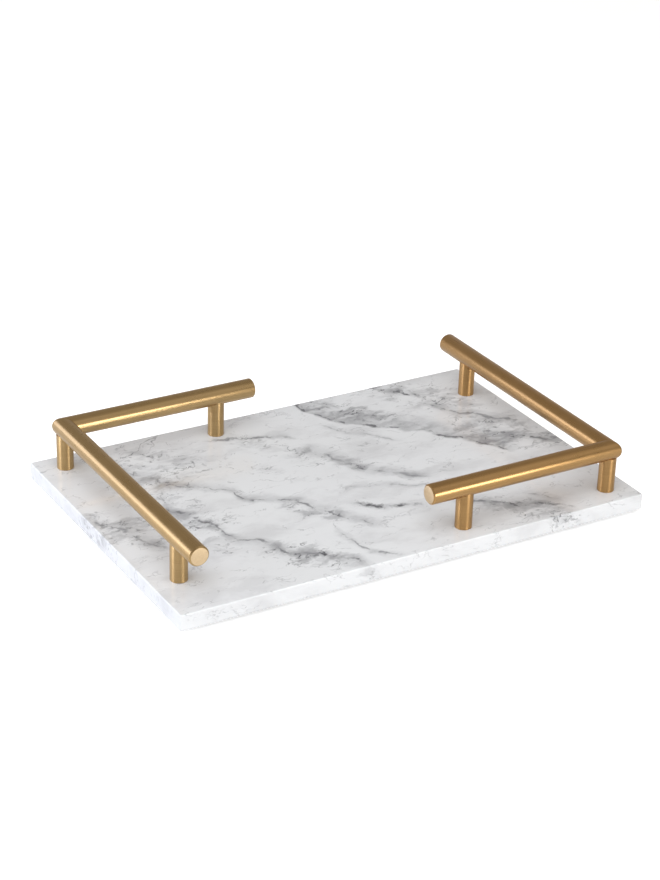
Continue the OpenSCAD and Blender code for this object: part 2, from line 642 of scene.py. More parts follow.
@dataclass(frozen=True)
class BrushedBrass:
    """Satin brass, brushed one way and lacquered."""

    name: str
    grain: Grain
    light: Colour
    dark: Colour
    roughness: float = 0.28
    stretch: float = 0.0
    stretch_turn: float = 0.25
    lacquer: float = 0.08
    streaks: float = 0.7
    film_size: float = 18.0
    film_share: float = 0.35
    gloss_spread: float = 0.03
    mark_strength: float = 0.01
    mark_depth: float = 0.1 * MM

    def make(self, groups: SharedGroups) -> Material:
        """Builds the material.

        Args:
            groups: The shared node groups.

        Returns:
            The finished material.
        """
        material, wiring, shader, place = new_material(
            self.name,
            Metallic=1.0,
            IOR=1.5,
            Coat_Weight=self.lacquer,
            Coat_Roughness=0.12,
            Anisotropic=self.stretch,
        )
        if self.stretch:
            tangent = wiring.add("NodeTangent", direction_type="RADIAL", axis="Z")
            wiring.feed(shader, Anisotropic_Rotation=self.stretch_turn, Tangent=tangent.outputs["Tangent"])
        brushed = wiring.group(groups.marks, Place=place, Stretch=self.grain.value, Streaks=self.streaks)
        marks = brushed.outputs["Marks"]
        film = wiring.group(groups.film, Place=place, Size=self.film_size).outputs["Film"]
        tone = wiring.blend(film, marks, self.film_share)
        wiring.feed(shader, Base_Color=wiring.mix(tone, self.dark, self.light))
        spread = self.gloss_spread
        gloss = wiring.math("MULTIPLY_ADD", marks, -spread, self.roughness + spread / 2)
        wiring.feed(shader, Roughness=wiring.math("MULTIPLY_ADD", film, spread, gloss))
        wiring.relief(shader, brushed.outputs["Height"], self.mark_strength, self.mark_depth)
        return material


@dataclass(frozen=True)
class Vein:
    """One vein's course over the slab, as points in millimetres from the slab's centre."""

    course: tuple[tuple[float, float], ...]
    width: float = 1.2
    core: float = 0.8
    smoke: float = 10.0
    haze: float = 0.3
    side: float = 0.0


@dataclass(frozen=True)
class Patch:
    """A smoky, freckled patch: its middle, and its half sizes along and across the veins' run.

    Every size is in millimetres.
    """

    x: float
    y: float
    along: float
    across: float
    strength: float


VEINS = (
    Vein(
        (
            (30, 104), (36, 86), (41, 72), (50, 60), (62, 50), (75, 37),
            (86, 27), (92, 17), (103, 7), (122, -22),
        ),
        1.5, 0.8, 15, 0.75, 0.9,
    ),
    Vein(((86, 106), (92, 95), (97, 86), (108, 78), (113, 69)), 2.6, 0.95, 7, 0.55, 0.4),
    Vein(((34, 64), (40, 55), (47, 44), (57, 33), (66, 23)), 0.9, 0.35, 5, 0.25, 0.0),
    Vein(((0, 38), (14, 32), (20, 15), (25, 2), (40, -12), (58, -26)), 1.6, 0.45, 10, 0.6, 0.2),
    Vein(((-40, 76), (-17, 68), (-3, 62), (10, 55)), 1.6, 0.6, 7, 0.4, 0.4),
    Vein(((-104, 70), (-90, 76), (-77, 75), (-67, 84), (-65, 94)), 1.8, 0.7, 6, 0.4, 0.0),
    Vein(
        (
            (-92, 48), (-86, 32), (-70, 22), (-57, 11), (-54, 0), (-42, -10),
            (-27, -20), (-21, -32), (-14, -47), (2, -66),
        ),
        1.2, 0.7, 8, 0.5, 0.3,
    ),
    Vein(
        (
            (-103, 12), (-90, -10), (-82, -25), (-80, -40), (-67, -55), (-62, -70),
            (-50, -77), (-40, -87), (-28, -101),
        ),
        1.4, 0.65, 8, 0.5, -0.3,
    ),
    Vein(((-2, -36), (10, -44), (22, -50), (34, -54)), 2.4, 0.95, 5, 0.45, 0.0),
    Vein(((-23, -50), (-27, -62), (-24, -75), (-20, -90), (-8, -101)), 1.1, 0.6, 5, 0.3, 0.0),
    Vein(((6, -16), (24, -22), (42, -32), (60, -40)), 1.0, 0.4, 6, 0.3, 0.0),
    Vein(((55, -58), (70, -70), (82, -77), (98, -86), (112, -98)), 1.6, 0.6, 9, 0.5, 0.0),
    Vein(((96, -70), (106, -80), (112, -90)), 1.3, 0.5, 5, 0.3, 0.0),
    Vein(((112, 60), (122, 40), (134, 26), (148, 12)), 1.8, 0.6, 10, 0.5, 0.0),
    Vein(((118, 14), (128, 2), (138, -8), (152, -20)), 1.6, 0.6, 9, 0.5, 0.0),
    Vein(((-149, 18), (-138, 6), (-131, -8), (-128, -22), (-118, -34)), 1.4, 0.5, 9, 0.5, 0.0),
    Vein(((-112, 100), (-100, 60), (-92, 40), (-98, 10), (-96, -20)), 1.2, 0.35, 9, 0.35, 0.0),
)

PATCHES = (
    Patch(-86, 64, 44, 26, 0.6),
    Patch(-97, 30, 30, 20, 0.6),
    Patch(-92, -16, 34, 13, 0.55),
    Patch(-137, 0, 36, 18, 0.7),
    Patch(58, 73, 40, 13, 0.9),
    Patch(112, 72, 46, 20, 0.7),
    Patch(134, 0, 44, 24, 0.8),
    Patch(-54, -77, 34, 14, 0.85),
    Patch(-26, -32, 24, 11, 0.8),
    Patch(86, -86, 36, 15, 0.75),
    Patch(24, 10, 50, 10, 0.55),
    Patch(-12, 58, 34, 9, 0.5),
    Patch(-90, -48, 46, 11, 0.4),
    Patch(-34, 30, 40, 12, 0.35),
)


def run_of(x: float, y: float) -> tuple[float, float]:
    """Turns a point on the slab into its distances along and across the veins' run."""
    return (x - y) * DIAGONAL, (x + y) * DIAGONAL


@dataclass(frozen=True)
class VeinedMarble:
    """Polished white marble with smoky bands and fine dark veins running from back left to front right.

    Distances are in millimetres, and noise scales are per millimetre.
    """

    name: str = "veined_marble"
    white: Colour = (0.805, 0.815, 0.83)
    cloud: Colour = (0.62, 0.622, 0.635)
    smoke: Colour = (0.28, 0.282, 0.298)
    dark: Colour = (0.075, 0.077, 0.088)
    roughness: float = 0.09
    reach: float = 220.0
    lean: tuple[float, float] = (0.45, -0.25)
    drift_turn: Point = (0.0, 0.0, math.radians(45))
    drift_scale: Point = (0.42, 1.0, 1.0)
    bend: Noise = Noise(0.055, 3.0, 0.55)
    bend_push: float = 7.0
    rag: Noise = Noise(0.3, 2.0, 0.55)
    rag_push: float = 1.1
    vein_grain: Noise = Noise(0.13, 3.0, 0.6, 0.41, 0.58)
    faintest: float = 0.06
    swell: float = 5.6
    pinch: float = -2.1
    thinnest: float = 0.2
    core_edge: float = 0.7
    fade_outside: float = 4.0
    fade_inside: float = 8.0
    lopsided: float = 0.85
    least_smoke: float = 1.2
    full_smoke: float = 0.05
    patch_rim: float = 1.25
    patch_core: float = 0.1
    clouds: Noise = Noise(0.055, 4.0, 0.55, 0.46, 0.74)
    mottle: Noise = Noise(0.12, 4.0, 0.58, 0.54, 0.78)
    strands: Noise = Noise(0.075, 5.0, 0.55, 0.016, 0.0)
    breaks: Noise = Noise(0.09, 3.0, 0.6, 0.44, 0.62)
    specks: Noise = Noise(0.26, 2.0, 0.5, 0.60, 0.70)
    patch_lift: float = 0.17
    murk_cover: tuple[float, float] = (0.85, 0.12)
    line_cover: tuple[float, float] = (0.7, 0.32)
    haze_range: tuple[float, float, float, float] = (0.3, 0.68, 0.5, 1.35)
    cloud_share: float = 0.62
    murk_share: float = 0.75
    haze_share: float = 0.8
    freckle_share: float = 0.95
    film_size: float = 30.0
    film_gloss: float = 0.04
    core_gloss: float = 0.10
    mottle_height: float = 0.12
    relief_strength: float = 0.12
    relief_depth: float = 0.05 * MM

    def run(self, wiring: Wiring, place: NodeSocket) -> tuple[NodeSocket, NodeSocket]:
        """Turns a place on the slab into distances along and across the veins' run.

        Args:
            wiring: The wiring to add to.
            place: The place.

        Returns:
            The sockets of the two distances.
        """
        along = wiring.vector("DOT_PRODUCT", place, (DIAGONAL, -DIAGONAL, 0.0), output="Value")
        across = wiring.vector("DOT_PRODUCT", place, (DIAGONAL, DIAGONAL, 0.0), output="Value")
        return along, across

    def share_of_reach(self, distance: float) -> float:
        """Gives a distance either way from the slab's centre as a share, 0 to 1, of the whole pattern."""
        return CENTRED + distance / (2 * self.reach)

    def vein_group(self) -> NodeTree:
        """Builds the group that draws one vein from its distance off its course.

        Returns:
            The group's tree, with outputs Core and Smoke.
        """
        names = ("Along", "Offset", "Start", "Finish", "Width", "Smoke", "Side", "Grain")
        tree, wiring, inside, outside = new_group("marble_vein", dict.fromkeys(names, 0.0), ("Core", "Smoke"))
        get = inside.outputs
        ends: object = 1.0
        for end, inwards in (("Start", 1), ("Finish", -1)):
            outer = wiring.math("ADD", get[end], -inwards * self.fade_outside)
            inner = wiring.math("ADD", get[end], inwards * self.fade_inside)
            ends = wiring.math("MULTIPLY", ends, wiring.ramp(get["Along"], outer, inner))
        distance = wiring.math("ABSOLUTE", get["Offset"])
        swell = wiring.math("MULTIPLY_ADD", get["Grain"], self.swell, self.pinch)
        half_width = wiring.math("MAXIMUM", wiring.math("MULTIPLY", get["Width"], swell), self.thinnest)
        core = wiring.math("SUBTRACT", 1.0, wiring.math("DIVIDE", distance, half_width), clamp=True)
        edge = wiring.math("POWER", core, self.core_edge)
        bold = wiring.ramp(get["Grain"], self.vein_grain.low, self.vein_grain.high, self.faintest)
        side_share = wiring.math("MULTIPLY", wiring.math("SIGN", get["Offset"]), get["Side"])
        widening = wiring.math("MULTIPLY_ADD", side_share, self.lopsided, 1.0)
        smoke_width = wiring.math("MULTIPLY", get["Smoke"], widening)
        away = wiring.math("DIVIDE", distance, wiring.math("MAXIMUM", smoke_width, self.least_smoke))
        wiring.feed(
            outside,
            Core=wiring.math("MULTIPLY", wiring.math("MULTIPLY", edge, bold), ends),
            Smoke=wiring.math("MULTIPLY", wiring.ramp(away, 1.0, self.full_smoke), ends),
        )
        return tree

    def course_of(self, wiring: Wiring, vein: Vein, share: NodeSocket) -> tuple[NodeSocket, float, float]:
        """Draws a vein's course as a curve of the distance across against the distance along.

        Args:
            wiring: The wiring to add to.
            vein: The vein.
            share: The distance along as a share of the whole pattern.

        Returns:
            The course's distance across, and where the vein starts and finishes along.
        """
        points = sorted(run_of(x, y) for x, y in vein.course)
        node = wiring.add("NodeFloatCurve")
        wiring.feed(node, Value=share)
        curve = node.mapping.curves[0]
        for _ in points[2:]:
            curve.points.new(CENTRED, CENTRED)
        for point, (along, across) in zip(curve.points, points):
            point.location = (self.share_of_reach(along), self.share_of_reach(across))
        node.mapping.update()
        off_centre = wiring.math("SUBTRACT", node.outputs["Value"], CENTRED)
        return wiring.math("MULTIPLY", off_centre, 2 * self.reach), points[0][0], points[-1][0]

    def warp(self, wiring: Wiring, place: NodeSocket, pattern: Noise, amount: float) -> NodeSocket:
        """Pushes places about by a noise.

        Args:
            wiring: The wiring to add to.
            place: The places.
            pattern: The noise.
            amount: About the largest push.

        Returns:
            The pushed places.
        """
        noise = wiring.noise(place, pattern, "Color")
        push = wiring.vector("SUBTRACT", noise, (NOISE_MIDDLE, NOISE_MIDDLE, NOISE_MIDDLE))
        return wiring.vector("ADD", place, wiring.vector("SCALE", push, 2 * amount))

    def placed_veins(self, wiring: Wiring, ragged: NodeSocket) -> tuple[NodeSocket, NodeSocket]:
        """Draws every placed vein.

        Args:
            wiring: The wiring to add to.
            ragged: The bent places that the veins are drawn on.

        Returns:
            The masks of the dark cores and of the smoke beside them.
        """
        along, across = self.run(wiring, ragged)
        share = wiring.math("MULTIPLY_ADD", along, 1 / (2 * self.reach), CENTRED)
        grain = wiring.noise(ragged, self.vein_grain)
        core: object = 0.0
        clear: object = 1.0
        group = self.vein_group()
        for vein in VEINS:
            course, start, finish = self.course_of(wiring, vein, share)
            drawn = wiring.group(
                group,
                Along=along,
                Offset=wiring.math("SUBTRACT", across, course),
                Start=start,
                Finish=finish,
                Width=vein.width,
                Smoke=vein.smoke,
                Side=vein.side,
                Grain=grain,
            )
            core = wiring.math("MAXIMUM", core, wiring.math("MULTIPLY", drawn.outputs["Core"], vein.core))
            kept = wiring.math("MULTIPLY_ADD", drawn.outputs["Smoke"], -vein.haze, 1.0)
            clear = wiring.math("MULTIPLY", clear, kept)
        return core, wiring.math("SUBTRACT", 1.0, clear)

    def patches(self, wiring: Wiring, bend: NodeSocket) -> NodeSocket:
        """Marks the patches where smoke and freckles gather.

        Args:
            wiring: The wiring to add to.
            bend: Gently bent places.

        Returns:
            A mask of the patches.
        """
        clear: object = 1.0
        along, across = self.run(wiring, bend)
        for patch in PATCHES:
            middle_along, middle_across = run_of(patch.x, patch.y)
            down = wiring.math("MULTIPLY_ADD", along, 1 / patch.along, -middle_along / patch.along)
            over = wiring.math("MULTIPLY_ADD", across, 1 / patch.across, -middle_across / patch.across)
            square = wiring.math("MULTIPLY_ADD", down, down, wiring.math("MULTIPLY", over, over))
            left_clear = wiring.ramp(square, self.patch_rim, self.patch_core, 1.0, 1.0 - patch.strength)
            clear = wiring.math("MULTIPLY", clear, left_clear)
        return wiring.math("SUBTRACT", 1.0, clear)

    def make(self, groups: SharedGroups) -> Material:
        """Builds the material.

        Args:
            groups: The shared node groups.

        Returns:
            The finished material.
        """
        material, wiring, shader, place = new_material(self.name, IOR=1.52, Coat_Weight=0.0)
        split = wiring.add("NodeSeparateXYZ")
        wiring.feed(split, Vector=place)
        slide = wiring.add("NodeCombineXYZ")
        for axis, lean in zip("XY", self.lean):
            wiring.feed(slide, **{axis: wiring.math("MULTIPLY", split.outputs["Z"], lean)})
        leant = wiring.vector("ADD", place, slide.outputs["Vector"])
        bend = self.warp(wiring, leant, self.bend, self.bend_push)
        ragged = self.warp(wiring, bend, self.rag, self.rag_push)
        core, smoke = self.placed_veins(wiring, ragged)
        cover = self.patches(wiring, bend)
        colour, mottle = self.markings(wiring, ragged, smoke, cover)
        wiring.feed(shader, Base_Color=wiring.mix(core, colour, self.dark))
        film = wiring.group(groups.film, Place=ragged, Size=self.film_size)
        polish = wiring.math("MULTIPLY_ADD", film.outputs["Film"], self.film_gloss, self.roughness)
        wiring.feed(shader, Roughness=wiring.math("MULTIPLY_ADD", core, self.core_gloss, polish))
        grain = wiring.math("MULTIPLY", mottle, self.mottle_height)
        relief = wiring.math("MULTIPLY_ADD", core, -1.0, grain)
        wiring.relief(shader, relief, self.relief_strength, self.relief_depth)
        return material

    def markings(
        self, wiring: Wiring, ragged: NodeSocket, smoke: NodeSocket, cover: NodeSocket
    ) -> tuple[NodeSocket, NodeSocket]:
        """Draws the clouds, smoke, freckles and fine lines between the veins' cores.

        Args:
            wiring: The wiring to add to.
            ragged: The bent places that the marks are drawn on.
            smoke: Mask of the smoke beside the veins.
            cover: Mask of the smoky patches.

        Returns:
            The stone's colour without the veins' cores, and its mottle.
        """
        turn = wiring.add("NodeMapping", vector_type="POINT")
        wiring.feed(turn, Vector=ragged, Rotation=self.drift_turn, Scale=self.drift_scale)
        drift = turn.outputs["Vector"]
        clouds = wiring.mask(drift, self.clouds)
        mottle = wiring.noise(drift, self.mottle)
        lifted = wiring.math("MULTIPLY_ADD", cover, self.patch_lift, mottle)
        murk_mask = wiring.ramp(lifted, self.mottle.low, self.mottle.high)
        murk = wiring.math("MULTIPLY", murk_mask, wiring.math("MULTIPLY_ADD", cover, *self.murk_cover))
        off_line = wiring.math("SUBTRACT", wiring.noise(drift, self.strands), NOISE_MIDDLE)
        line = wiring.ramp(wiring.math("ABSOLUTE", off_line), self.strands.low, self.strands.high)
        broken = wiring.math("MULTIPLY", line, wiring.mask(ragged, self.breaks))
        lines = wiring.math("MULTIPLY", broken, wiring.math("MULTIPLY_ADD", cover, *self.line_cover))
        gathered = wiring.math("MULTIPLY", cover, lifted)
        freckles = wiring.math("MULTIPLY", wiring.mask(ragged, self.specks), gathered, clamp=True)
        haze = wiring.math("MULTIPLY", smoke, wiring.ramp(mottle, *self.haze_range), clamp=True)
        colour: object = self.white
        for mask, share, tone in (
            (clouds, self.cloud_share, self.cloud),
            (murk, self.murk_share, self.smoke),
            (haze, self.haze_share, self.smoke),
            (lines, 1.0, self.dark),
            (freckles, self.freckle_share, self.dark),
        ):
            colour = wiring.mix(wiring.math("MULTIPLY", mask, share), colour, tone)
        return colour, mottle


@dataclass(frozen=True)
class PlatedSteel:
    """Bright zinc-plated steel, with a fine tumbled surface."""

    name: str = "plated_steel"
    light: Colour = (0.68, 0.69, 0.71)
    dark: Colour = (0.46, 0.47, 0.50)
    roughness: float = 0.26
    streaks: float = 0.9
    film_size: float = 3.0
    film_share: float = 0.6
    gloss_spread: float = 0.08
    mark_strength: float = 0.1
    mark_depth: float = 0.05 * MM

    def make(self, groups: SharedGroups) -> Material:
        """Builds the material.

        Args:
            groups: The shared node groups.

        Returns:
            The finished material.
        """
        material, wiring, shader, place = new_material(self.name, Metallic=1.0)
        tumbled = wiring.group(groups.marks, Place=place, Stretch=Grain.EVEN.value, Streaks=self.streaks)
        marks = tumbled.outputs["Marks"]
        film = wiring.group(groups.film, Place=place, Size=self.film_size).outputs["Film"]
        tone = wiring.blend(film, marks, self.film_share)
        wiring.feed(shader, Base_Color=wiring.mix(tone, self.dark, self.light))
        spread = self.gloss_spread
        wiring.feed(shader, Roughness=wiring.math("MULTIPLY_ADD", marks, spread, self.roughness - spread / 2))
        wiring.relief(shader, tumbled.outputs["Height"], self.mark_strength, self.mark_depth)
        return material


@dataclass(frozen=True)
class MouldedPlastic:
    """A soft moulded material, such as nylon or silicone, with a faint moulding texture."""

    name: str
    light: Colour
    dark: Colour
    roughness: float
    glow: float
    glow_depth: float = MM
    texture: Noise = Noise(4.0, 3.0, 0.6)
    film_size: float = 4.0
    film_share: float = 0.6
    film_gloss: float = 0.12
    texture_strength: float = 0.15
    texture_depth: float = 0.05 * MM

    def make(self, groups: SharedGroups) -> Material:
        """Builds the material.

        Args:
            groups: The shared node groups.

        Returns:
            The finished material.
        """
        material, wiring, shader, place = new_material(
            self.name, IOR=1.45, Subsurface_Weight=self.glow, Subsurface_Scale=self.glow_depth
        )
        film = wiring.group(groups.film, Place=place, Size=self.film_size).outputs["Film"]
        grain = wiring.noise(place, self.texture)
        tone = wiring.blend(film, grain, self.film_share)
        wiring.feed(shader, Base_Color=wiring.mix(tone, self.dark, self.light))
        wiring.feed(shader, Roughness=wiring.math("MULTIPLY_ADD", film, self.film_gloss, self.roughness))
        wiring.relief(shader, grain, self.texture_strength, self.texture_depth)
        return material


@dataclass(frozen=True)
class FloorPaper:
    """Plain white backdrop paper, which glows a little where the camera sees it directly."""

    name: str = "white_floor_paper"
    light: Colour = (0.86, 0.86, 0.86)
    dark: Colour = (0.84, 0.84, 0.84)
    film_size: float = 60.0
    lift: float = 0.56

    def make(self, groups: SharedGroups) -> Material:
        """Builds the material.

        Args:
            groups: The shared node groups.

        Returns:
            The finished material.
        """
        material, wiring, shader, place = new_material(
            self.name, Roughness=0.9, Specular_IOR_Level=0.1, Emission_Color=(*WHITE, 1.0)
        )
        film = wiring.group(groups.film, Place=place, Size=self.film_size)
        wiring.feed(shader, Base_Color=wiring.mix(film.outputs["Film"], self.dark, self.light))
        seen = wiring.add("NodeLightPath").outputs["Is Camera Ray"]
        wiring.feed(shader, Emission_Strength=wiring.math("MULTIPLY", seen, self.lift))
        return material


class FinishCard:
    """Every finish on the tray, made once."""

    def __init__(self) -> None:
        """Makes the materials."""
        self.groups = SharedGroups()
        self.marble = VeinedMarble().make(self.groups)
        self.long_bars = self.brass("long_bar", Grain.ALONG_X)
        self.side_bars = self.brass("side_bar", Grain.ALONG_Y)
        self.posts = self.brass("posts", Grain.ROUND_Z, roughness=0.36, stretch=0.85)
        # Cut ends: a rougher satin finish, with a lighter brass colour that is a painted highlight for the
        # bright light that the ends reflect.
        self.brass_ends = BrushedBrass(
            "satin_brass_cut_ends", Grain.EVEN, (0.82, 0.63, 0.40), (0.74, 0.56, 0.34), roughness=0.46
        ).make(self.groups)
        self.steel = PlatedSteel().make(self.groups)
        self.nylon = MouldedPlastic(
            "natural_nylon", (0.80, 0.77, 0.68), (0.70, 0.66, 0.56), roughness=0.42, glow=0.15
        ).make(self.groups)
        self.silicone = MouldedPlastic(
            "grey_silicone", (0.50, 0.51, 0.52), (0.40, 0.41, 0.42), roughness=0.36, glow=0.3
        ).make(self.groups)
        self.paper = FloorPaper().make(self.groups)

    def brass(self, part: str, grain: Grain, **changes: float) -> dict[Cast, Material]:
        """Makes the brushed brass for the same part of both rails.

        Args:
            part: The part's name.
            grain: The way that the part is brushed.
            changes: Any settings that differ from plain brushed brass.

        Returns:
            The material for each rail's brass.
        """
        made = {}
        # Each rail gets its own tone: the right one's redder base colour is painted warm reflected light.
        for cast in Cast:
            name = "brushed_brass_" + cast.name.lower() + "_" + part
            made[cast] = BrushedBrass(name, grain, *cast.value, **changes).make(self.groups)
        return made


def hand_over(piece: Object, finish: Material, slot: str, *nodes: str) -> None:
    """Dresses a finished piece, puts it on the tray's body and lets it stand for its frame nodes.

    Args:
        piece: The finished piece.
        finish: Its material, or its first one where it has more.
        slot: The record's material slot. Not used.
        nodes: The frame nodes that it stands for.
    """
    if piece.data.materials:
        piece.data.materials[0] = finish
    else:
        piece.data.materials.append(finish)
    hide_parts(*nodes)
    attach(piece, BODY)
    log.info("%s: %d faces", piece.name, len(piece.data.polygons))


# ------------------------------------------------------------------- the slab


@dataclass
class Slab:
    """The polished marble slab, with a stepped screw hole under each post."""

    finishes: FinishCard
    corner_round: float = 1.2 * MM
    edge_ease: float = 0.8 * MM
    counterbore: float = 5.0 * MM
    counterbore_depth: float = 5.0 * MM
    through_hole: float = 2.25 * MM
    mouth_chamfer: float = 0.3 * MM
    corner_steps: int = 6
    ease_steps: int = 4
    hole_sides: int = 48
    cutter_spare: float = 1 * MM

    def blank(self) -> Object:
        """Models the slab before its holes: a block with rounded corners and eased edges.

        Returns:
            The solid blank.
        """
        low, high = box("marble_slab")
        bpy.ops.object.select_all(action="DESELECT")
        bpy.ops.mesh.primitive_cube_add(size=1.0, location=(low + high) / 2, scale=high - low)
        piece = bpy.context.active_object
        piece.name = "marble_slab_polished"
        settle(piece)
        with shaping(piece):
            pick_edges(piece, lambda a, b: abs(a.z - b.z) > self.edge_ease)
            round_picked(self.corner_round, self.corner_steps)
            pick_edges(piece, lambda a, b: abs(a.z - b.z) < WELD and min(high.z - a.z, a.z - low.z) < WELD)
            round_picked(self.edge_ease, self.ease_steps)
        return piece

    def hole(self, post: str) -> Object:
        """Models the cutter for the stepped hole under a post.

        Args:
            post: The post's node.

        Returns:
            The cutter, in place.
        """
        low, high = box("marble_slab")
        roof = low.z + self.counterbore_depth
        chamfer, past = self.mouth_chamfer, self.cutter_spare
        cutter = turned(
            "hole_cutter",
            [
                (self.counterbore + chamfer + past, low.z - past),
                (self.counterbore, low.z + chamfer),
                (self.counterbore, roof),
                (self.through_hole, roof),
                (self.through_hole, high.z + past),
            ],
            self.hole_sides,
        )
        centre = middle(post)
        cutter.location = (centre.x, centre.y, 0)
        settle(cutter)
        return cutter

    def build(self, posts: Sequence[str]) -> Object:
        """Models, bores and dresses the slab.

        Args:
            posts: The posts' nodes.

        Returns:
            The finished slab.
        """
        piece = self.blank()
        carve(piece, *[self.hole(post) for post in posts])
        soften(piece)
        apply_modifier(piece, "WEIGHTED_NORMAL", weight=100, keep_sharp=True)
        hand_over(piece, self.finishes.marble, "white_marble", "marble_slab")
        return piece


# ------------------------------------------------------------------ the rails


class Side(Enum):
    """Which of the two rails, by the turn about Z that brings the pattern rail to it, in radians."""

    LEFT = 0.0
    RIGHT = math.pi

    @property
    def cast(self) -> Cast:
        """This side's brass tone, which on the right rail holds painted warm reflected light."""
        return Cast[self.name]

    @property
    def word(self) -> str:
        """The side's word in names."""
        return self.name.lower()

    @property
    def corner_post(self) -> str:
        """The node of this side's corner post."""
        return f"{self.word}_corner_post"

    @property
    def long_bar(self) -> str:
        """The node of this side's bar along a long edge."""
        return "left_rail_back_bar" if self is Side.LEFT else "right_rail_front_bar"

    @property
    def side_bar(self) -> str:
        """The node of this side's bar along a short edge."""
        return f"{self.word}_rail_side_bar"

    @property
    def long_post(self) -> str:
        """The node of the post under the long-edge bar."""
        return "left_back_post" if self is Side.LEFT else "right_front_post"

    @property
    def side_post(self) -> str:
        """The node of the post under the short-edge bar."""
        return f"{self.word}_side_post"

    @property
    def posts(self) -> tuple[str, str, str]:
        """This side's three posts, the corner first."""
        return self.corner_post, self.long_post, self.side_post


@dataclass
class RailPattern:
    """One rail's bars and posts, modelled once about their own corner, with bars along +X and -Y."""

    # Material of the cut ends, whose lighter colour is a painted highlight.
    painted_bright_end_finish: Material
    end_chamfer: float = 0.8 * MM
    edge_break: float = 0.12 * MM
    break_share: float = 0.3
    corner_round: float = 2.0 * MM
    corner_steps: int = 8
    seat_clearance: float = 0.05 * MM
    seat_sides: int = 64
    seat_turn: float = math.radians(2)
    cutter_spare: float = 2 * MM
    post_break: float = 0.3 * MM
    post_break_arc: float = 75
    post_break_steps: int = 4
    stud_hole: float = 2.05 * MM
    stud_hole_height: float = 5.5 * MM
    stud_hole_spare: float = 0.5 * MM
    stud_hole_cone: float = 0.4
    screw_hole_depth: float = 10.4 * MM
    screw_hole_cone: float = 0.6
    hole_tip: float = 0.1
    hole_mouth: float = 0.4 * MM
    hole_sides: int = 32
    sides: int = 96
    radius: float = field(init=False)
    axis: Vector = field(init=False)
    long_reach: float = field(init=False)
    side_reach: float = field(init=False)
    post_radius: float = field(init=False)
    long_pitch: float = field(init=False)
    side_pitch: float = field(init=False)

    def __post_init__(self) -> None:
        """Reads the pattern's sizes from the left rail's frame nodes."""
        low, high = box(Side.LEFT.long_bar)
        self.radius = (high.z - low.z) / 2
        corner = middle(Side.LEFT.corner_post)
        self.axis = Vector((corner.x, corner.y, (low.z + high.z) / 2))
        self.long_reach = high.x - corner.x
        self.side_reach = corner.y - box(Side.LEFT.side_bar)[0].y
        post_low, post_high = box(Side.LEFT.corner_post)
        self.post_radius = (post_high.x - post_low.x) / 2
        self.long_pitch = middle(Side.LEFT.long_post).x - corner.x
        self.side_pitch = corner.y - middle(Side.LEFT.side_post).y

    def rod(self, name: str, reach: float) -> Object:
        """Models a plain bar along +X from the corner, its free end chamfered, its inner end mitred.

        Args:
            name: The rod's name.
            reach: Distance from the corner to the free end.

        Returns:
            The rod, open at the mitre.
        """
        r, c, e = self.radius, self.end_chamfer, self.edge_break
        ease = self.break_share * e
        profile = [
            (r, -2 * r),
            (r, reach - c - e),
            (r - ease, reach - c + ease),
            (r - c + ease, reach - ease),
            (r - c - e, reach),
        ]
        rod = turned(name, profile, self.sides)
        rod.rotation_euler = (0, math.pi / 2, 0)
        settle(rod)
        cut_off(rod, (0, 0, 0), (-1, -1, 0), close=False)
        return rod

    def elbow(self) -> Object:
        """Joins two rods at the mitre and grinds the corner's outer edge round.

        Returns:
            The closed elbow.
        """
        elbow = self.rod("elbow", self.long_reach)
        other = self.rod("elbow_side", self.side_reach)
        other.rotation_euler = (0, 0, -math.pi / 2)
        settle(other)
        other.scale = (-1, 1, 1)
        settle(other)
        take(elbow, other)
        bpy.ops.object.join()
        tidy_shell(elbow)
        weights = elbow.data.attributes.new("bevel_weight_edge", "FLOAT", "EDGE")
        outwards = Vector((-1, 1, 0)).normalized()
        for edge in elbow.data.edges:
            ends = [elbow.data.vertices[i].co for i in edge.vertices]
            mid = (ends[0] + ends[1]) / 2
            if max(abs(p.x + p.y) for p in ends) > WELD or mid.dot(outwards) <= 0:
                continue
            lift = min(1.0, abs(mid.z) / self.radius)
            bend = math.acos(lift * lift)
            weights.data[edge.index].value = math.tan(bend / 2)
        apply_modifier(
            elbow,
            "BEVEL",
            limit_method="WEIGHT",
            width=self.corner_round,
            segments=self.corner_steps,
            profile=ROUND,
            use_clamp_overlap=False,
        )
        return elbow

    def halves(self) -> tuple[Object, Object]:
        """Parts the elbow at its mitre into the long-edge bar and the short-edge bar.

        Returns:
            The two solid bars, about the corner.
        """
        long_bar = self.elbow()
        carve(
            long_bar,
            self.seat_cutter(Side.LEFT.corner_post, 0.0, 0.0),
            self.seat_cutter(Side.LEFT.long_post, self.long_pitch, 0.0),
            self.seat_cutter(Side.LEFT.side_post, 0.0, -self.side_pitch),
        )
        side_bar = copy_of(long_bar, "side_bar_pattern")
        for bar, mitre, along in ((long_bar, (-1, -1, 0), (1, 0, 0)), (side_bar, (1, 1, 0), (0, -1, 0))):
            cut_off(bar, (0, 0, 0), mitre)
            tidy_shell(bar)
            self.dress_end(bar, Vector(along))
            soften(bar)
        return long_bar, side_bar

    def dress_end(self, bar: Object, along: Vector) -> None:
        """Gives a bar's sawn free end its own rougher satin finish, beside the brushed one still to come, in a
        lighter brass colour that is a painted highlight for the bright light that the ends reflect.

        Args:
            bar: The bar, about the corner.
            along: The way from the corner to the free end.
        """
        for material in (None, self.painted_bright_end_finish):
            bar.data.materials.append(material)
        with shaping(bar):
            pick_faces(
                bar, lambda centre, normal: normal.dot(along) > FACING and centre.dot(along) > self.radius
            )
            bar.active_material_index = 1
            bpy.ops.object.material_slot_assign()

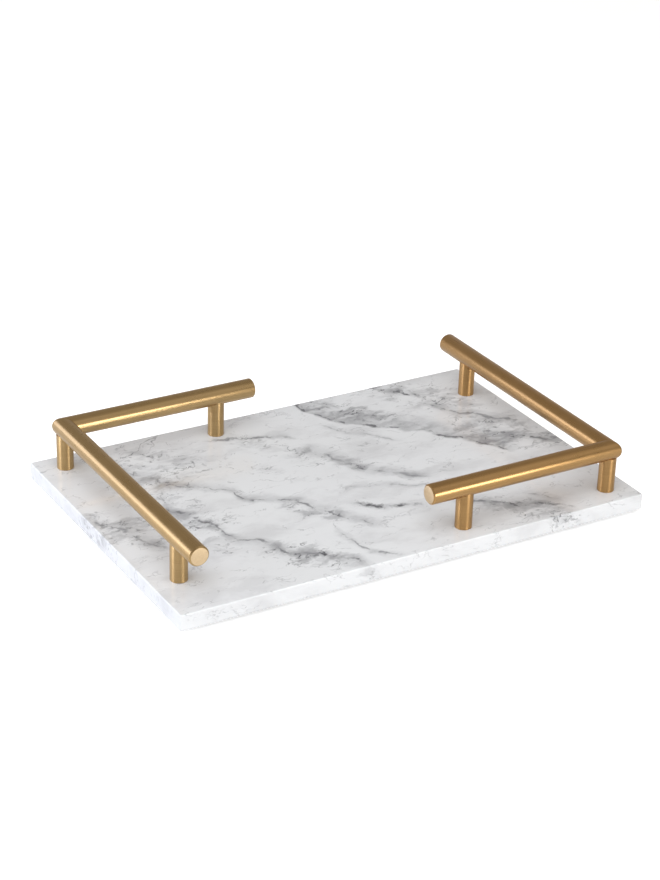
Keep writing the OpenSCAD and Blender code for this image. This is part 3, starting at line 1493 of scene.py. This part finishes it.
    def seat_cutter(self, post: str, x: float, y: float) -> Object:
        """Models the cutter for a post's flat seat and the stud hole above it.

        Args:
            post: The post's node, whose top gives the seat's roof.
            x: The seat's place along X from the corner.
            y: The seat's place along Y from the corner.

        Returns:
            The cutter, in place about the corner.
        """
        roof = box(post)[1].z - self.axis.z
        wide = self.post_radius + self.seat_clearance
        cutter = turned(
            "seat_cutter",
            [
                (wide, -self.radius - self.cutter_spare),
                (wide, roof),
                (self.stud_hole, roof),
                (self.stud_hole, roof + self.stud_hole_height),
            ],
            self.seat_sides,
        )
        cutter.location = (x, y, 0)
        cutter.rotation_euler = (0, 0, self.seat_turn)
        settle(cutter)
        return cutter

    def post(self, node: str) -> Object:
        """Models a post about the world's Z axis, from the slab's top up, tapped at both ends.

        Args:
            node: The post's node, for its height.

        Returns:
            The post.
        """
        low, high = box(node)
        height = high.z - low.z
        r, e = self.post_radius, self.post_break
        arc, steps = self.post_break_arc, self.post_break_steps
        piece = turned(
            node + "_brushed",
            [
                (r - e, 0.0),
                *arc_steps((r - e, e), e, -arc, 0, steps),
                *arc_steps((r - e, height - e), e, 0, arc, steps),
                (r - e, height),
            ],
            self.sides,
        )
        hole, mouth, tip = self.stud_hole, self.hole_mouth, self.hole_tip * self.stud_hole
        deep = self.screw_hole_depth
        below = turned(
            "screw_hole_cutter",
            [
                (hole + 2 * mouth, -mouth),
                (hole, mouth),
                (hole, deep),
                (tip, deep + hole * self.screw_hole_cone),
            ],
            self.hole_sides,
        )
        floor = height - self.stud_hole_height - self.stud_hole_spare
        above = turned(
            "stud_hole_cutter",
            [
                (tip, floor - hole * self.stud_hole_cone),
                (hole, floor),
                (hole, height - mouth),
                (hole + 2 * mouth, height + mouth),
            ],
            self.hole_sides,
        )
        carve(piece, below, above)
        soften(piece)
        return piece


@dataclass
class Rails:
    """Both rails, copied from the one pattern and set on the slab."""

    finishes: FinishCard
    pattern: RailPattern
    pieces: list[Object] = field(default_factory=list)

    def place_bar(self, bar: Object, side: Side, node: str, finish: Material) -> None:
        """Copies a pattern bar to its side of the slab and hands it over.

        Args:
            bar: The pattern bar, about the corner.
            side: The rail that it is for.
            node: The frame node that it stands for.
            finish: Its material.
        """
        piece = copy_of(bar, node + "_brushed")
        corner = middle(side.corner_post)
        piece.rotation_euler = (0, 0, side.value)
        piece.location = (corner.x, corner.y, self.pattern.axis.z)
        settle(piece)
        hand_over(piece, finish, "brushed_brass", node)
        self.pieces.append(piece)

    def place_post(self, node: str, finish: Material) -> None:
        """Models a post and stands it on the slab.

        Args:
            node: The post's node.
            finish: Its material.
        """
        piece = self.pattern.post(node)
        low, high = box(node)
        piece.location = ((low.x + high.x) / 2, (low.y + high.y) / 2, low.z)
        settle(piece)
        hand_over(piece, finish, "brushed_brass", node)
        self.pieces.append(piece)

    def build(self) -> list[Object]:
        """Models and places all four bars and six posts.

        Returns:
            The bars and posts.
        """
        long_bar, side_bar = self.pattern.halves()
        for side in Side:
            self.place_bar(long_bar, side, side.long_bar, self.finishes.long_bars[side.cast])
            self.place_bar(side_bar, side, side.side_bar, self.finishes.side_bars[side.cast])
            for node in side.posts:
                self.place_post(node, self.finishes.posts[side.cast])
        for pattern_bar in (long_bar, side_bar):
            bpy.data.objects.remove(pattern_bar)
        return self.pieces


# ---------------------------------------------------------------- the hardware


@dataclass
class Hardware:
    """The studs, screws and washers that hold each rail, one set of three under each rail."""

    finishes: FinishCard
    pitch: float = 0.7 * MM
    crest: float = 2.0 * MM
    root: float = 1.62 * MM
    head_radius: float = 4.0 * MM
    recess_span: float = 4.4 * MM
    recess_width: float = 0.95 * MM
    recess_depth: float = 1.5 * MM
    recess_spare: float = 0.4 * MM
    recess_taper: Point = (0.5, 0.6, 1.0)
    washer_bore: float = 2.15 * MM
    washer_radius: float = 4.5 * MM
    washer_break: float = 0.12 * MM
    thread_flank: float = 0.3125
    thread_flat: float = 0.1875
    thread_start: float = 1.37
    thread_spare_turns: int = 3
    thread_steps: int = 20
    head_face: float = 0.62
    head_rim: float = 1.0 * MM
    head_break: float = 0.15 * MM
    head_overlap: float = 0.5 * MM
    sides: int = 48

    def threaded_rod(self, name: str, low: float, high: float) -> Object:
        """Models a length of screw thread about Z.

        Args:
            name: The rod's name.
            low: Height of its lower end.
            high: Height of its upper end.

        Returns:
            The closed threaded rod, with tapered ends.
        """
        flank, flat = self.pitch * self.thread_flank, self.pitch * self.thread_flat
        bpy.ops.object.select_all(action="DESELECT")
        bpy.ops.mesh.primitive_plane_add(size=1.0)
        rod = bpy.context.active_object
        rod.name = name
        start = low - self.thread_start * self.pitch
        outline = [
            (self.root, 0.0),
            (self.root, flat),
            (self.crest, flat + flank),
            (self.crest, 2 * flat + flank),
            (self.root, self.pitch),
        ]
        with shaping(rod):
            bpy.ops.mesh.select_all(action="SELECT")
            bpy.ops.mesh.merge(type="CENTER")
            mesh = bmesh.from_edit_mesh(rod.data)
            mesh.verts.ensure_lookup_table()
            mesh.verts[0].co = (outline[0][0], 0, start)
            bmesh.update_edit_mesh(rod.data)
            for (r0, z0), (r1, z1) in zip(outline, outline[1:]):
                bpy.ops.mesh.extrude_vertices_move(TRANSFORM_OT_translate={"value": (r1 - r0, 0, z1 - z0)})
        turns = math.ceil((high - low) / self.pitch) + self.thread_spare_turns
        apply_modifier(
            rod,
            "SCREW",
            axis="Z",
            angle=2 * math.pi,
            screw_offset=self.pitch,
            iterations=turns,
            steps=self.thread_steps,
            render_steps=self.thread_steps,
        )
        tidy_shell(rod)
        cut_off(rod, (0, 0, low), (0, 0, -1))
        cut_off(rod, (0, 0, high), (0, 0, 1))
        tidy_shell(rod)
        return rod

    def head(self, low: float, high: float) -> Object:
        """Models a pan head that faces down, with a cross recess.

        Args:
            low: Height of the head's outer face.
            high: Height of its bearing face.

        Returns:
            The head.
        """
        r, rim, e = self.head_radius, self.head_rim, self.head_break
        head = turned(
            "screw_head",
            [
                (self.head_face * r, low),
                *arc_steps((r - rim, low + rim + e), rim, -72, -8, 6),
                (r, high - e),
                (r - e, high),
            ],
            self.sides,
        )
        spare = self.recess_spare
        for turn in (0.0, math.pi / 2):
            bpy.ops.object.select_all(action="DESELECT")
            bpy.ops.mesh.primitive_cube_add(
                size=1.0,
                location=(0, 0, low + (self.recess_depth - spare) / 2),
                scale=(self.recess_span, self.recess_width, self.recess_depth + spare),
            )
            blade = bpy.context.active_object
            settle(blade)
            with shaping(blade):
                pick_faces(blade, lambda centre, normal: normal.z > FACING)
                bpy.ops.transform.resize(value=self.recess_taper, center_override=ORIGIN)
            blade.rotation_euler = (0, 0, turn + math.pi / 4)
            settle(blade)
            carve(head, blade)
        return head

    def screw(self) -> Object:
        """Models one pan-head screw about Z, at the height that the frame gives.

        Returns:
            The screw.
        """
        low, high = box("left_rail_screws")
        bearing = box("left_rail_steel_washers")[0].z
        screw = self.threaded_rod("screw_pattern", bearing - self.head_overlap, high.z)
        head = self.head(low.z, bearing)
        apply_modifier(screw, "BOOLEAN", operation="UNION", solver="EXACT", object=head)
        bpy.data.objects.remove(head)
        tidy_shell(screw)
        soften(screw)
        return screw

    def washer(self, node: str) -> Object:
        """Models one flat washer about Z, at the height of a frame node.

        Args:
            node: The washers' node.

        Returns:
            The washer.
        """
        low, high = box(node)
        outer, bore, e = self.washer_radius, self.washer_bore, self.washer_break
        ring = turned(
            "washer_pattern",
            [
                (bore + e, low.z),
                (outer - e, low.z),
                *arc_steps((outer - e, low.z + e), e, -60, 0, 2),
                *arc_steps((outer - e, high.z - e), e, 0, 60, 2),
                (outer - e, high.z),
                (bore + e, high.z),
                *arc_steps((bore + e, high.z - e), e, 120, 180, 2),
                *arc_steps((bore + e, low.z + e), e, 180, 240, 2),
                (bore + e, low.z),
            ],
            self.sides,
        )
        soften(ring)
        return ring

    def set_of_three(
        self,
        pattern: Object,
        side: Side,
        node: str,
        finish: Material,
        slot: str,
        lifts: Sequence[float] = (0, 0, 0),
    ) -> None:
        """Copies a fastener under a rail's three posts and hands the set over as one piece.

        Args:
            pattern: The fastener about Z, at its height.
            side: The rail.
            node: The frame node that the set stands for.
            finish: The set's material.
            slot: The record's material slot.
            lifts: How far each copy is raised from the pattern's height.
        """
        copies = []
        for post, lift in zip(side.posts, lifts):
            twin = copy_of(pattern, node + "_set")
            centre = middle(post)
            twin.location = (centre.x, centre.y, lift)
            settle(twin)
            copies.append(twin)
        take(*copies)
        bpy.ops.object.join()
        piece = copies[0]
        piece.name = node + "_set"
        hand_over(piece, finish, slot, node)

    def stud(self) -> Object:
        """Models one stud about Z, at the height of a corner post's stud.

        Returns:
            The stud.
        """
        low = box("left_rail_studs")[0].z
        seat = box(Side.LEFT.corner_post)[1].z
        stud = self.threaded_rod("stud_pattern", low, 2 * seat - low)
        soften(stud)
        return stud

    def build(self) -> None:
        """Models each fastener once and sets it under both rails."""
        screw, stud = self.screw(), self.stud()
        steel_ring = self.washer("left_rail_steel_washers")
        nylon_ring = self.washer("left_rail_nylon_washers")
        finishes = self.finishes
        for side in Side:
            seats = [box(post)[1].z for post in side.posts]
            lifts = [seat - seats[0] for seat in seats]
            stem = f"{side.word}_rail_"
            self.set_of_three(screw, side, stem + "screws", finishes.steel, "zinc_plated_steel")
            self.set_of_three(stud, side, stem + "studs", finishes.steel, "zinc_plated_steel", lifts)
            self.set_of_three(steel_ring, side, stem + "steel_washers", finishes.steel, "zinc_plated_steel")
            self.set_of_three(nylon_ring, side, stem + "nylon_washers", finishes.nylon, "natural_nylon")
        for pattern in (screw, stud, steel_ring, nylon_ring):
            bpy.data.objects.remove(pattern)


@dataclass
class Feet:
    """The four silicone bumper feet."""

    finishes: FinishCard
    names: tuple[str, ...] = ("front_left_foot", "front_right_foot", "back_left_foot", "back_right_foot")
    dimple: float = 2.2 * MM
    dimple_depth: float = 0.35 * MM
    dimple_flat: float = 0.7
    dimple_wall: float = 0.6
    dimple_rim: float = 0.3 * MM
    tread_inset: float = 0.8 * MM
    bulge: float = 0.6 * MM
    flare: float = 0.15 * MM
    lip: float = 0.2 * MM
    sides: int = 64

    def build(self) -> None:
        """Models one foot and copies it to each corner."""
        low, high = box(self.names[0])
        centre = (low + high) / 2
        base = (high.x - low.x) / 2
        tall = high.z - low.z
        bulge = self.bulge
        middle_of_bulge = base - self.tread_inset - bulge
        foot = turned(
            "foot_pattern",
            [
                (self.dimple * self.dimple_flat, self.dimple_depth),
                (self.dimple, self.dimple_depth * self.dimple_wall),
                (self.dimple + self.dimple_rim, 0.0),
                *arc_steps((middle_of_bulge, bulge), bulge, -90, -12, 6),
                (base - self.flare, tall - 2 * self.lip),
                (base, tall - self.lip),
                (base, tall),
            ],
            self.sides,
        )
        foot.location = (centre.x, centre.y, low.z)
        settle(foot)
        soften(foot)
        for name in self.names:
            piece = copy_of(foot, name + "_moulded")
            place = middle(name)
            piece.location = (place.x - centre.x, place.y - centre.y, 0)
            settle(piece)
            hand_over(piece, self.finishes.silicone, "clear_grey_silicone", name)
        bpy.data.objects.remove(foot)


# ------------------------------------------------------------------ the studio


@dataclass(frozen=True)
class Softbox:
    """A soft panel light that faces the tray, placed by azimuth from the front and elevation in degrees."""

    name: str
    azimuth: float
    elevation: float
    distance: float
    wide: float
    tall: float
    power: float
    colour: Colour = WHITE

    def build(self, aim: Vector) -> Object:
        """Hangs the light and turns it to the tray.

        Args:
            aim: The point that it faces.

        Returns:
            The light.
        """
        data = bpy.data.lights.new(self.name, "AREA")
        data.shape = "RECTANGLE"
        data.size, data.size_y = self.wide, self.tall
        data.energy = self.power
        data.color = self.colour
        lamp = bpy.data.objects.new(self.name, data)
        bpy.context.scene.collection.objects.link(lamp)
        away = direction(self.azimuth, self.elevation)
        lamp.location = aim + away * self.distance
        lamp.rotation_euler = away.to_track_quat("Z", "Y").to_euler()
        return lamp


def direction(azimuth: float, elevation: float) -> Vector:
    """Gives the way to something from the tray.

    Args:
        azimuth: Degrees round from the front, where 90 is the right and -90 the left.
        elevation: Degrees above the floor.

    Returns:
        A vector of length 1.
    """
    a, e = math.radians(azimuth), math.radians(elevation)
    return Vector((math.sin(a) * math.cos(e), -math.cos(a) * math.cos(e), math.sin(e)))


@dataclass
class Studio:
    """The camera, the pale floor and the soft light."""

    finishes: FinishCard
    azimuth: float = -30.8
    elevation: float = 26.15
    roll: float = 1.72
    distance: float = 1.301
    lens: float = 89.8
    sensor: float = 36.0
    clip_near: float = 0.01
    clip_far: float = 50.0
    floor_size: float = 12.0
    aim_right: float = -2.5 * MM
    aim_up: float = 31.5 * MM
    overhead: float = 0.38
    horizon: float = 0.5
    horizon_height: float = 0.5
    tint: Colour = (1.0, 0.94, 0.87)
    softboxes: tuple[Softbox, ...] = (
        Softbox("left_softbox", -118, 12, 1.15, 1.5, 0.45, 4.0, (0.92, 1.0, 1.3)),
        Softbox("front_softbox", 19, 8, 1.6, 0.65, 0.36, 6.1),
        Softbox("high_softbox", 48, 50, 1.5, 1.1, 1.1, 1.1),
    )
    brass_strip: Softbox = Softbox("brass_strip", -97, 9, 1.2, 0.35, 0.34, 4.6, (0.97, 1.0, 1.1))
    stone_lights: tuple[Softbox, ...] = (
        Softbox("stone_top_light", -45, 58, 1.4, 1.2, 1.2, 12.6, (0.93, 0.965, 1.0)),
        Softbox("stone_front_light", 10, 15, 2.0, 1.0, 1.0, 4.0, (0.95, 0.975, 1.0)),
        Softbox("stone_left_light", -95, 20, 1.0, 0.6, 0.4, 1.5, (0.93, 0.965, 1.0)),
    )

    def camera(self) -> None:
        """Sets up the camera."""
        back = direction(self.azimuth, self.elevation)
        right = Vector((0, 0, 1)).cross(back).normalized()
        up = back.cross(right)
        tilt = math.radians(self.roll)
        leaning_right = right * math.cos(tilt) + up * math.sin(tilt)
        leaning_up = up * math.cos(tilt) - right * math.sin(tilt)
        low, high = box("marble_slab")
        origin = Vector(((low.x + high.x) / 2, (low.y + high.y) / 2, low.z))
        data = bpy.data.cameras.new("camera")
        data.lens, data.sensor_width = self.lens, self.sensor
        data.clip_start, data.clip_end = self.clip_near, self.clip_far
        camera = bpy.data.objects.new("camera", data)
        bpy.context.scene.collection.objects.link(camera)
        turn = Matrix((leaning_right, leaning_up, back)).transposed().to_4x4()
        spot = origin + back * self.distance + leaning_right * self.aim_right + leaning_up * self.aim_up
        camera.matrix_world = Matrix.Translation(spot) @ turn
        bpy.context.scene.camera = camera

    def floor(self) -> Object:
        """Lays the pale floor under the feet.

        Returns:
            The floor.
        """
        bpy.ops.object.select_all(action="DESELECT")
        bpy.ops.mesh.primitive_plane_add(size=self.floor_size, location=(0, 0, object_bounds()[0].z))
        floor = bpy.context.active_object
        floor.name = "floor"
        settle(floor)
        floor.data.materials.append(self.finishes.paper)
        floor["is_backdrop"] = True
        return floor

    def sky(self) -> None:
        """Lights the studio all round, brighter near the horizon than overhead."""
        world = bpy.data.worlds.new("studio")
        world.use_nodes = True
        bpy.context.scene.world = world
        wiring = Wiring(world.node_tree)
        split = wiring.add("NodeSeparateXYZ")
        wiring.feed(split, Vector=wiring.add("NodeTexCoord").outputs["Generated"])
        level = wiring.ramp(split.outputs["Z"], 0.0, self.horizon_height, self.horizon, self.overhead)
        seen = wiring.add("NodeLightPath").outputs["Is Camera Ray"]
        unseen = wiring.math("SUBTRACT", 1.0, seen)
        wiring.feed(
            world.node_tree.nodes["Background"],
            Color=wiring.mix(seen, self.tint, WHITE),
            Strength=wiring.math("MULTIPLY_ADD", level, unseen, seen),
        )

    def keep_for(self, lamp: Object, lit: Sequence[Object]) -> None:
        """Keeps a light for some surfaces.

        Args:
            lamp: The light.
            lit: The surfaces that it lights.
        """
        receivers = bpy.data.collections.new(lamp.name + "_receivers")
        for surface in lit:
            receivers.objects.link(surface)
        lamp.light_linking.receiver_collection = receivers

    def build(self, slab: Object, brass: Sequence[Object]) -> None:
        """Sets up camera, floor and lights.

        Args:
            slab: The marble slab, which the stone lights are kept for, with the floor.
            brass: The bars and posts, which the strip light is kept for.
        """
        self.camera()
        floor = self.floor()
        self.sky()
        aim = Vector((0, 0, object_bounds()[1].z / 2))
        for softbox in self.softboxes:
            softbox.build(aim)
        for softbox in self.stone_lights:
            self.keep_for(softbox.build(aim), (slab, floor))
        self.keep_for(self.brass_strip.build(aim), brass)
        bpy.context.scene.view_settings.view_transform = "Standard"


def main() -> None:
    """Builds the tray's looks around the frame, and the studio round it."""
    logging.basicConfig(level=logging.INFO, format="%(name)s: %(message)s")
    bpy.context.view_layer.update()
    finishes = FinishCard()
    posts = [post for side in Side for post in side.posts]
    slab = Slab(finishes).build(posts)
    brass = Rails(finishes, RailPattern(finishes.brass_ends)).build()
    Studio(finishes).build(slab, brass)
    Hardware(finishes).build()
    Feet(finishes).build()


if __name__ == "__main__":
    main()
